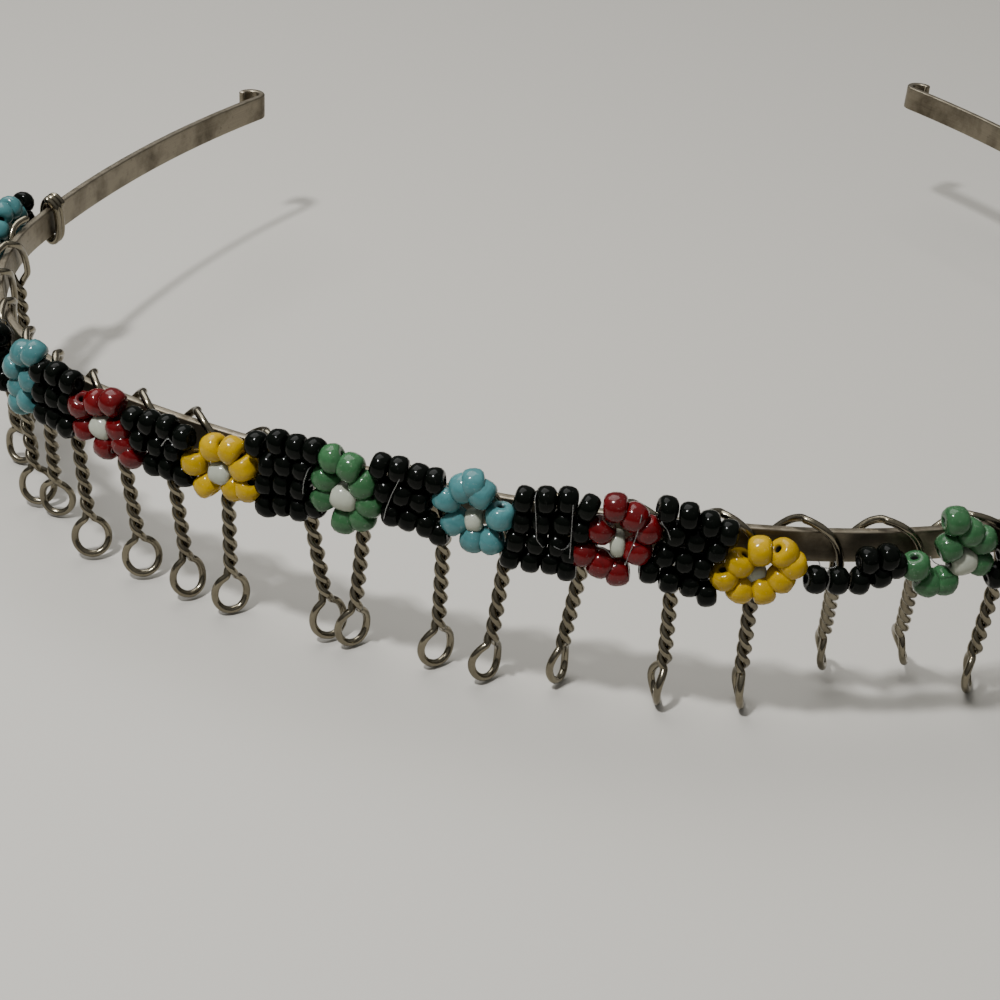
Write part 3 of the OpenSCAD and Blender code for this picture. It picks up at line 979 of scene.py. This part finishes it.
class HEADBAND_OT_comb(Operator):
    """Winds each tooth of the comb as one wire: over the band, down the stem, round the eye and back"""

    bl_idname = "headband.comb"
    bl_label = "Wind the comb"

    def execute(self, context):
        comb, band = context.scene.headband_comb, context.scene.headband_band
        rng = np.random.default_rng(COMB_SEED)
        wires = [
            (f"comb_wire_{k + 1:02d}", f"tooth_{k + 1:02d}", tooth_path(k, comb, band, rng))
            for k in range(len(TEETH))
        ]
        for side, last_bead, way in (("left", BEADS_FROM, -1), ("right", BEADS_TO, 1)):
            path = wrap_path(last_bead, way, comb, band)
            wires.append((f"wrapped_wire_{side}", f"wire_end_{side}", path))
        metal = wire_metal(comb)
        for name, tooth, path in wires:
            points, faces = tube(path, comb.wire / MM / 2, WIRE_SIDES)
            seat(put_mesh(name, on_band(points), faces, metal), "wire_steel", tooth)
        return {"FINISHED"}


# Beads

BEAD_SIDES = 14
# How far the way of a hole strays, and the ranges of a bead's length and girth, as shares
HOLE_STRAY = 0.05
LENGTH_RANGE = (0.94, 1.0)
GIRTH_RANGE = (0.97, 1.0)
# Petals: how far they stray round the ring in radians, their range of reach as shares of the ring's, their
# range of depth, and how far a hole points inwards
RING_STRAY = 0.05
REACH_RANGE = (0.96, 1.04)
PETAL_DEPTHS = (-0.12, 0.12)
PETAL_TILT = 0.15
# Pale beads: sides, length and diameter before they are stretched to the table's, radius of the hole, how
# far out they sit, and how far a hole points upwards and inwards
PEARL_SIDES = 16
PEARL_SIZE = 2.4
PEARL_HOLE = 0.3
PEARL_OUT = 0.1
PEARL_TILT = 0.15
PEARL_TURN = 0.1
# Black beads: pitch of the rows, room beside a flower, how closely they are strung and how full they are,
# as shares, how far they stray along the row and in height, their range of depth, and how far a hole points
# inwards and up
ROW_PITCH = 2.45
BLOCK_GAP = 0.15
BLOCK_CLOSENESS = 0.96
BLOCK_FULLNESS = 1.03
ALONG_STRAY = 0.1
HEIGHT_STRAY = 0.18
BLOCK_DEPTHS = (-0.15, 0.1)
BLOCK_TILTS = (0.12, 0.16)


def petal_places(k, rng):
    """Where a flower's petals lie, as (arc position, height): as seen, or unevenly round an oval."""
    if k in SEEN_PETALS:
        return np.array(SEEN_PETALS[k], float)
    s, z, half_width, half_height = FLOWERS[k][RING]
    place = np.arange(PETALS) + rng.uniform(0, 1)
    angle = place * 2 * math.pi / PETALS + rng.normal(0, RING_STRAY, PETALS)
    reach = rng.uniform(*REACH_RANGE, PETALS)
    return np.stack([s + half_width * reach * np.cos(angle), z + half_height * reach * np.sin(angle)], 1)


def bead_depth(scene):
    """Distance of the beads' middles outward of the band's mid-line: they lie on the wire."""
    comb, band, beads = scene.headband_comb, scene.headband_band, scene.headband_beads
    return band.thickness / MM / 2 + OUTER_GAP + comb.wire / MM + BEAD_GAP + beads.diameter / MM / 2


def put_beads(name, kind, beads, centres, hole_ways, outward, size, sides, stretch, rng):
    """Drilled beads as one piece, each with a tint of its own; size is (length, radius, hole's radius)."""
    turned = turned_beads(on_band(centres), hole_ways, outward, *size, sides, stretch)
    points, faces, owner, in_hole = turned
    floats = {"tint": rng.uniform(0, 1, len(centres))[owner], "hole": in_hole}
    return put_mesh(name, points, faces, bead_glass(beads, kind), floats)


def string_beads(name, node_name, kind, centres, ways, length, diameter, beads, rng):
    """Uneven seed beads that stand for a CAD node.

    centres are (arc position, inward, height), and ways the ways of the holes as (along, inward, up).
    """
    count = len(centres)
    along, outward, up = local_frame(centres[:, 0])
    way = ways + rng.normal(0, HOLE_STRAY, (count, 3))
    hole_ways = way[:, :1] * along - way[:, 1:2] * outward + way[:, 2:] * up
    stretch = np.stack([rng.uniform(*LENGTH_RANGE, count), rng.uniform(*GIRTH_RANGE, count)], 1)
    size = (length, diameter / 2, beads.hole / MM / 2)
    made = put_beads(name, kind, beads, centres, hole_ways, outward, size, BEAD_SIDES, stretch, rng)
    seat(made, f"{kind}_glass", node_name)


class HEADBAND_OT_flowers(Operator):
    """Strings seven or eight drilled beads into each flower, and sets a pale bead in its middle"""

    bl_idname = "headband.flowers"
    bl_label = "Tie on the flowers"

    def execute(self, context):
        beads = context.scene.headband_beads
        rng = np.random.default_rng(beads.seed)
        depth = bead_depth(context.scene)
        for k, flower in enumerate(FLOWERS):
            places = petal_places(k, rng)
            radial = unit(places - places.mean(axis=0))
            count = len(places)
            centres = np.stack([places[:, 0], -depth + rng.uniform(*PETAL_DEPTHS, count), places[:, 1]], 1)
            ways = np.stack([-radial[:, 1], rng.normal(0, PETAL_TILT, count), radial[:, 0]], 1)
            kind = flower[COLOUR]
            name = f"flower_{k + 1:02d}_{kind}"
            petal = (beads.petal / MM, beads.petal_diameter / MM)
            string_beads(f"{name}_petals", name, kind, centres, ways, *petal, beads, rng)
        self.pearls(beads, depth)
        return {"FINISHED"}

    @staticmethod
    def pearls(beads, depth):
        """The pale beads, drilled along the band: a little proud of the petals, or deeper by the table."""
        rng = np.random.default_rng(beads.seed + 1)
        s, z = np.array([SEEN_MIDDLES.get(k, f[:2]) for k, f in enumerate(FLOWERS)]).T
        centres = np.stack([s, -depth - PEARL_OUT + np.array([f[PEARL_DEEPER] for f in FLOWERS]), z], 1)
        along, outward, up = local_frame(s)
        hole_ways = along + PEARL_TILT * up * rng.normal(0, 1, (len(FLOWERS), 1)) - PEARL_TURN * outward
        stretch = np.array([f[PEARL_SHAPE] for f in FLOWERS]) / PEARL_SIZE
        size = (PEARL_SIZE, PEARL_SIZE / 2, PEARL_HOLE)
        made = put_beads(
            "centre_pearls", "pearl", beads, centres, hole_ways, outward, size, PEARL_SIDES, stretch, rng
        )
        seat(made, "pearl", "centre_beads")


def row_ends(k, z, beads):
    """Where flower k ends on both sides beside a row at height z: its petals are balls round an oval.

    A petal at angle t reaches half width cos t along the band, plus what its ball has left of its radius at
    the row's nearer side.
    """
    s, dz, half_width, half_height = FLOWERS[k][RING]
    radius = beads.diameter / MM / 2
    angle = np.arange(PETALS) * 2 * math.pi / PETALS
    clear = np.clip(np.abs(z - dz - half_height * np.sin(angle)) - radius, 0, radius)
    reach = half_width * np.cos(angle) + np.sqrt(radius**2 - clear**2)
    reach = max(half_width, float(reach.max())) + BLOCK_GAP
    return s - reach, s + reach


def block_beads(half, beads, rng):
    """Places of the black beads on one half: as seen, or in rows with one bead for each bead's length."""
    places = []
    length = beads.block / MM * BLOCK_CLOSENESS

    def fill(start, end, z):
        count = max(1, round((end - start) / length))
        s = start + (np.arange(count) + 0.5) * (end - start) / count
        along = rng.uniform(-ALONG_STRAY, ALONG_STRAY, count)
        places.append(np.stack([s + along, z + rng.uniform(-HEIGHT_STRAY, HEIGHT_STRAY, count)], 1))

    final = len(FLOWERS) - 1
    for k in range(HALVES_MEET) if half == "left" else range(HALVES_MEET, final):
        if k in SEEN_BLOCKS:
            places.append(np.array(SEEN_BLOCKS[k], float))
            continue
        height, rows = FLOWERS[k][BLOCK]
        for row in range(rows):
            z = height + (row - (rows - 1) / 2) * ROW_PITCH
            fill(row_ends(k, z, beads)[1], row_ends(k + 1, z, beads)[0], z)
    for z in (-ROW_PITCH, 0, ROW_PITCH):
        if half == "left":
            fill(BEADS_FROM, row_ends(0, z, beads)[0], z)
        else:
            fill(row_ends(final, z, beads)[1], BEADS_TO, z)
    return np.concatenate(places)


class HEADBAND_OT_black_beads(Operator):
    """Fills the blocks between the flowers with rows of black beads"""

    bl_idname = "headband.black_beads"
    bl_label = "Fill the black blocks"

    def execute(self, context):
        beads = context.scene.headband_beads
        rng = np.random.default_rng(beads.seed + 2)
        depth = bead_depth(context.scene)
        for half in ("left", "right"):
            places = block_beads(half, beads, rng)
            count = len(places)
            centres = np.stack([places[:, 0], -depth + rng.uniform(*BLOCK_DEPTHS, count), places[:, 1]], 1)
            ways = np.stack([np.ones(count), *(rng.normal(0, tilt, count) for tilt in BLOCK_TILTS)], 1)
            bead = (beads.block / MM, beads.diameter / MM * BLOCK_FULLNESS)
            name, node_name = f"black_blocks_{half}", f"black_beads_{half}"
            string_beads(name, node_name, "black", centres, ways, *bead, beads, rng)
        return {"FINISHED"}


# Thread

THREAD_SIDES = 6
# Steps of the seen stretches and of the turns over a block, and how widely their corners are rounded
STRETCH_STEP, STRETCH_ROUNDING = 0.2, 0.2
TURN_STEP, TURN_ROUNDING = 0.25, 0.22
# How far in between the beads the ends of a seen stretch go
STRETCH_DIVE = 0.9
# A turn over a block: how far it strays from the block's middle and drifts along it, the angle that it
# covers each way on a row and its points there, how close it lies, and then its way to the wire, as
# (distance towards the head, height): two points, and one whose distance counts from the beads' middles
TURN_STRAY = 0.8
TURN_DRIFT = 0.2
TURN_ANGLE = 55
TURN_POINTS = 9
TURN_CLOSENESS = 0.98
TURN_TAIL = ((-0.9, 1.9), (-1.6, 3.6))
TURN_SHOULDER = (0.3, 4.05)


def over_block(s, depth, reach, rng):
    """A turn of thread on three rows: arcs over their fronts, and back to the wire above and below."""
    t = np.radians(np.linspace(TURN_ANGLE, -TURN_ANGLE, TURN_POINTS))
    arc = np.stack([-depth - reach * np.cos(t) * TURN_CLOSENESS, reach * np.sin(t)], 1)
    front = np.concatenate([arc + [0, z] for z in (ROW_PITCH, 0, -ROW_PITCH)])
    above = np.array([*TURN_TAIL, (TURN_SHOULDER[0] - depth, TURN_SHOULDER[1])])
    line = np.concatenate([above, front, above[::-1] * [1, -1]])
    drift = np.linspace(-TURN_DRIFT, TURN_DRIFT, len(line)) * rng.uniform(-1, 1)
    return soft_path(np.concatenate([(s + drift)[:, None], line], 1), TURN_STEP, TURN_ROUNDING)


class HEADBAND_OT_threads(Operator):
    """Draws the clear thread over the black blocks and across the flowers"""

    bl_idname = "headband.threads"
    bl_label = "Sew with clear thread"

    def execute(self, context):
        beads, thread = context.scene.headband_beads, context.scene.headband_thread
        depth = bead_depth(context.scene)
        radius, thread_r = beads.diameter / MM / 2, thread.diameter / MM / 2
        rng = np.random.default_rng(beads.seed + 3)
        paths = []
        for stretch in SEEN_THREADS:
            s, z = np.array(stretch, float).T
            lying = np.stack([s, np.full(len(s), -depth - radius), z], 1)
            ends = lying[[0, -1]] + [0, STRETCH_DIVE, 0]
            path = np.concatenate([ends[:1], lying, ends[1:]])
            paths.append(soft_path(path, STRETCH_STEP, STRETCH_ROUNDING))
        for k in range(len(FLOWERS) - 1):
            if k not in SEEN_BLOCKS:
                s = (FLOWERS[k][0] + FLOWERS[k + 1][0]) / 2 + rng.uniform(-TURN_STRAY, TURN_STRAY)
                paths.append(over_block(s, depth, radius + thread_r, rng))
        points, faces = join([tube(path, thread_r, THREAD_SIDES) for path in paths])
        made = put_mesh("sewing_thread", on_band(points), faces, thread_material(thread))
        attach(made, "root")
        return {"FINISHED"}


# Stage

# The camera's place, and its heading, its tilt downwards and its roll, in radians
CAMERA_PLACE = (-46.1, -189.0, 107.3)
CAMERA_YAW = 0.16824
CAMERA_PITCH = 0.56371
CAMERA_ROLL = 0.07891
# Width of the camera's sensor, and in metres the nearest that it shows
CAMERA_SENSOR = 36
CAMERA_NEAR = 0.01
# Half the floor's side and the points along it
FLOOR_HALF = 1500
FLOOR_POINTS = 13
# Lights, in metres: place, what it faces, size, power and colour
LIGHTS = {
    "window": ((-0.17, -0.13, 0.36), (0, -0.03, 0.02), 0.03, 1.7, (1, 1, 1)),
    "sky": ((-0.2, 0.3, 0.8), (0, 0, 0), 0.7, 6.0, (1, 0.99, 0.97)),
}
# The room's colour from the level up to a steep direction, and its strength
ROOM_LEVEL = (0.1, 0.1, 0.1, 1)
ROOM_CEILING = (0.8, 0.8, 0.78, 1)
ROOM_STEEP = 0.8
ROOM_STRENGTH = 0.5


def placed_at(place, right, up, back):
    """The matrix that puts an object at a place, with its own axes along right, up and back."""
    turned = np.eye(4)
    turned[:3] = np.stack([right, up, back, place], 1)
    return Matrix(turned.tolist())


def camera_matrix():
    """The camera's place and axes, from its heading, its tilt downwards and its roll."""
    yaw, pitch, roll = CAMERA_YAW, CAMERA_PITCH, CAMERA_ROLL
    level = np.array([math.cos(yaw), -math.sin(yaw), 0])
    ahead = np.array([math.sin(yaw), math.cos(yaw), 0])
    forward = math.cos(pitch) * ahead - math.sin(pitch) * np.array([0, 0, 1])
    upright = np.cross(level, forward)
    right = math.cos(roll) * level + math.sin(roll) * upright
    up = -math.sin(roll) * level + math.cos(roll) * upright
    return placed_at(np.array(CAMERA_PLACE) * MM, right, up, -forward)


def soft_light(name, share, place, aim, size, power, colour):
    """A square area light at a place that faces its aim, at a share of its power."""
    light = bpy.data.lights.new(name, "AREA")
    light.size = size
    light.energy = power * share
    light.color = colour
    lamp = bpy.data.objects.new(name, light)
    away = unit(np.array(place) - np.array(aim))
    side = unit(np.cross([0, 0, 1.0], away))
    lamp.matrix_world = placed_at(place, side, np.cross(away, side), away)
    bpy.context.scene.collection.objects.link(lamp)


def room_world():
    """A dim room with a pale ceiling: its light grows from the level up with a direction's height."""
    world = bpy.data.worlds.new("Soft room")
    world.use_nodes = True
    tree = world.node_tree
    way = node(tree, "ShaderNodeTexCoord").outputs["Generated"]
    up = node(tree, "ShaderNodeSeparateXYZ", Vector=way).outputs["Z"]
    colour = mix(tree, ramp(tree, up, low=0.0, high=ROOM_STEEP), ROOM_LEVEL, ROOM_CEILING)
    background = tree.nodes["Background"]
    tree.links.new(colour, background.inputs["Color"])
    background.inputs["Strength"].default_value = ROOM_STRENGTH
    return world


class HEADBAND_OT_stage(Operator):
    """Lays the floor and sets the lights and the camera"""

    bl_idname = "headband.stage"
    bl_label = "Set the stage"

    def execute(self, context):
        scene = context.scene
        stage = scene.headband_stage
        n = FLOOR_POINTS
        side = np.linspace(-FLOOR_HALF, FLOOR_HALF, n)
        x, y = np.meshgrid(side, side, indexing="ij")
        points = np.stack([x, y, np.zeros_like(x)], -1).reshape(-1, 3)
        i = np.arange(n - 1)[:, None] * n + np.arange(n - 1)[None, :]
        faces = np.stack([i, i + n, i + n + 1, i + 1], -1).reshape(-1, 4)
        put_mesh("floor", points, faces, floor_material(stage))
        for name, settings in LIGHTS.items():
            soft_light(name, stage.light, *settings)
        scene.world = room_world()
        camera = bpy.data.cameras.new("camera")
        camera.lens = stage.lens
        camera.sensor_width = CAMERA_SENSOR
        camera.clip_start = CAMERA_NEAR
        placed = bpy.data.objects.new("camera", camera)
        placed.matrix_world = camera_matrix()
        scene.collection.objects.link(placed)
        scene.camera = placed
        return {"FINISHED"}


class HEADBAND_PT_panel(Panel):
    """Settings and build steps of the headband"""

    bl_idname = "HEADBAND_PT_panel"
    bl_label = "Beaded headband"
    bl_space_type = "VIEW_3D"
    bl_region_type = "UI"
    bl_category = "Headband"

    def draw(self, context):
        for step, settings in STEPS:
            box = self.layout.box()
            box.operator(step.bl_idname)
            if settings is None:
                continue
            group = getattr(context.scene, settings)
            for name in type(group).__annotations__:
                box.prop(group, name)


SETTINGS = {
    "headband_band": BandSettings,
    "headband_comb": CombSettings,
    "headband_beads": BeadSettings,
    "headband_thread": ThreadSettings,
    "headband_stage": StageSettings,
}
STEPS = [
    (HEADBAND_OT_band, "headband_band"),
    (HEADBAND_OT_comb, "headband_comb"),
    (HEADBAND_OT_flowers, "headband_beads"),
    (HEADBAND_OT_black_beads, None),
    (HEADBAND_OT_threads, "headband_thread"),
    (HEADBAND_OT_stage, "headband_stage"),
]


def register():
    """Registers the settings, the build steps and the panel."""
    for name, group in SETTINGS.items():
        bpy.utils.register_class(group)
        setattr(bpy.types.Scene, name, PointerProperty(type=group))
    for step, _ in STEPS:
        bpy.utils.register_class(step)
    bpy.utils.register_class(HEADBAND_PT_panel)


def unregister():
    """Takes away what register() added."""
    bpy.utils.unregister_class(HEADBAND_PT_panel)
    for step, _ in reversed(STEPS):
        bpy.utils.unregister_class(step)
    for name, group in SETTINGS.items():
        delattr(bpy.types.Scene, name)
        bpy.utils.unregister_class(group)


def main():
    """Builds the headband in order."""
    register()
    bpy.ops.headband.band()
    bpy.ops.headband.comb()
    bpy.ops.headband.flowers()
    bpy.ops.headband.black_beads()
    bpy.ops.headband.threads()
    bpy.ops.headband.stage()


if __name__ == "__main__":
    main()
